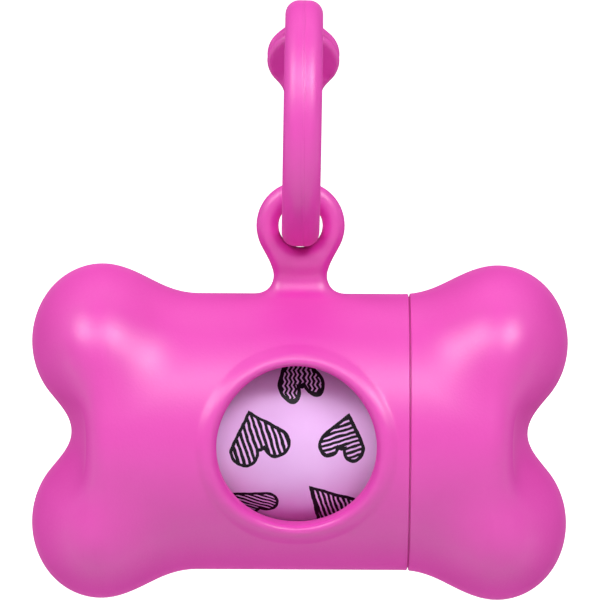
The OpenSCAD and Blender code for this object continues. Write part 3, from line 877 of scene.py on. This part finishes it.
# %% [markdown]
# ## Dressing the frame
# Each new piece but the strap's band rides on the frame's body that carries it, and stands for the
# plain solid it replaces. The barrel, the cup and the core keep their own meshes and only get a
# finish. The strap's band rides on no body: its place is only baked into its mesh, and it stands
# for the plain flap.

# %% Materials of the pieces
def dress(piece, material):
    piece.data.materials.clear()
    piece.data.materials.append(material)
    print(piece.name, "is", material.name)

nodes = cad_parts
for piece, material in ((case_skin, silicone), (cap_skin, silicone),
                        (strap_band, strap_silicone), (strap_tail, strap_silicone),
                        (leading_bag, film), (bag_roll, wound),
                        (nodes["barrel"], abs_pink), (nodes["cap_liner"], abs_pink),
                        (nodes["roll_core"], card)):
    dress(piece, material)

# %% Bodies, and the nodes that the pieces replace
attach(case_skin, "case")
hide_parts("case_skin")
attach(cap_skin, "cap")
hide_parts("cap_skin")
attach(leading_bag, "roll")
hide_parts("leading_bag")
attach(bag_roll, "roll")
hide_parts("bag_roll")
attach(strap_tail, "strap")
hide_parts("strap_loop")
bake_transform(strap_band)
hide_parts("strap_flap")

# %% [markdown]
# ## Studio
# A long lens from about a metre, a little above level, as for a catalogue: far away, so that the
# near parts aren't swollen by perspective.

# %% Camera
VIEW_ELEVATION = math.radians(6.5)
VIEW_ROLL = math.radians(0.3)
VIEW_MM = 600 / 6.29                         # width of the view at the object
DISTANCE = 1.0                               # metres
SENSOR = 36
aim = Vector((-0.23, 0, -28.17)) * MM
cam_data = bpy.data.cameras.new("camera")
cam_data.sensor_width = SENSOR
cam_data.lens = SENSOR * DISTANCE / (VIEW_MM * MM)
camera = bpy.data.objects.new("camera", cam_data)
bpy.context.scene.collection.objects.link(camera)
back = Vector((0, -math.cos(VIEW_ELEVATION), math.sin(VIEW_ELEVATION)))
camera.location = aim + back * DISTANCE
camera.rotation_mode = "QUATERNION"
level = (-back).to_track_quat("-Z", "Y").to_matrix()
camera.rotation_quaternion = (Matrix.Rotation(VIEW_ROLL, 3, back) @ level).to_quaternion()
cam_data.clip_start, cam_data.clip_end = 0.05, 20
bpy.context.scene.camera = camera
print("camera at", [round(v, 3) for v in camera.location], "lens", round(cam_data.lens), "mm")

# %% [markdown]
# ### Floor
# The floor is matt white paper. It takes light and shadow as grey paper does, so that it doesn't
# throw too much light up at the object. Seen by the camera, or in a reflection or through
# something clear, it glows as well, the more the farther it lies from the middle, so that it runs
# into the white of the room without an edge and keeps the object's shadow.

# %% The floor
FLOOR_Z, FLOOR_SIZE = -0.16, 12              # metres
WHITE, PAPER = (1, 1, 1, 1), (0.75, 0.75, 0.75, 1)

def seen_mask(tree):
    """One for rays that show a thing: straight, in a reflection or through something clear."""
    path = add(tree, "ShaderNodeLightPath").outputs
    mirrored = maths(tree, "MAXIMUM", path["Is Glossy Ray"], path["Is Transmission Ray"])
    return maths(tree, "MAXIMUM", path["Is Camera Ray"], mirrored)

start_clean()
bpy.ops.mesh.primitive_plane_add(size=FLOOR_SIZE, location=(0, 0, FLOOR_Z))
floor = settle_place(bpy.context.object)
floor.name = "studio_floor"
paper, tree, shader = new_material("studio_paper_white", Roughness=0.9, Base_Color=PAPER,
                                   Emission_Color=WHITE)
place = add(tree, "ShaderNodeTexCoord")
away = add(tree, "ShaderNodeVectorMath", {"operation": "LENGTH"}, i0=place.outputs["Object"])
glow = add(tree, "ShaderNodeMapRange", Value=away.outputs["Value"], From_Min=0.2, From_Max=0.9,
           To_Min=0.35, To_Max=0.95)
tree.links.new(maths(tree, "MULTIPLY", seen_mask(tree), glow.outputs["Result"]),
               shader.inputs["Emission Strength"])
dress(floor, paper)

# %% [markdown]
# ### Lamps and room
# Two square softboxes high at the left and the right draw the round highlights on the lobes. A
# long, narrow one over the camera draws the streak along the middle. A large weak one in front
# lightens the shadows, and one behind parts the object from the floor. The white room does the
# rest: the world is full white where it is seen, and gives a little over a quarter of that as
# light.

# %% Softboxes
LAMPS_AIM = Vector((0, 0, -0.04))

def softbox(name, azimuth, elevation, distance, size, power):
    """A square lamp that faces the object: angles in degrees, sizes in metres, power in watts."""
    light = bpy.data.lights.new(name, "AREA")
    light.shape, light.size, light.energy = "SQUARE", size, power
    box = bpy.data.objects.new(name, light)
    bpy.context.scene.collection.objects.link(box)
    a, e = math.radians(azimuth), math.radians(elevation)
    towards = Vector((math.sin(a) * math.cos(e), -math.cos(a) * math.cos(e), math.sin(e)))
    box.location = LAMPS_AIM + towards * distance
    box.rotation_euler = towards.to_track_quat("Z", "Y").to_euler()
    print(name, power, "W")
    return box

softbox("softbox_left", -57, 42, 0.9, 0.35, 3.2)
softbox("softbox_right", 42, 44, 0.9, 0.35, 3.3)
softbox("softbox_front", 0, 14, 1.5, 1.2, 0.6)
softbox("softbox_back", 180, 40, 1.2, 0.8, 2.4)
strip = softbox("softbox_strip", 0, 48, 0.9, 1.0, 3.1)
strip.data.shape, strip.data.size_y = "RECTANGLE", 0.2

# %% The white room
ROOM_LIGHT = 0.29                            # the room as a lamp, where full white is 1
world = bpy.data.worlds.new("white_room")
bpy.context.scene.world = world
world.use_nodes = True
tree = world.node_tree
ground = tree.nodes["Background"]
ground.inputs["Color"].default_value = WHITE
strength = maths(tree, "ADD", maths(tree, "MULTIPLY", seen_mask(tree), 1 - ROOM_LIGHT), ROOM_LIGHT)
tree.links.new(strength, ground.inputs["Strength"])
bpy.context.scene.view_settings.view_transform = "Standard"
print("room gives", ROOM_LIGHT, "of full white as light")
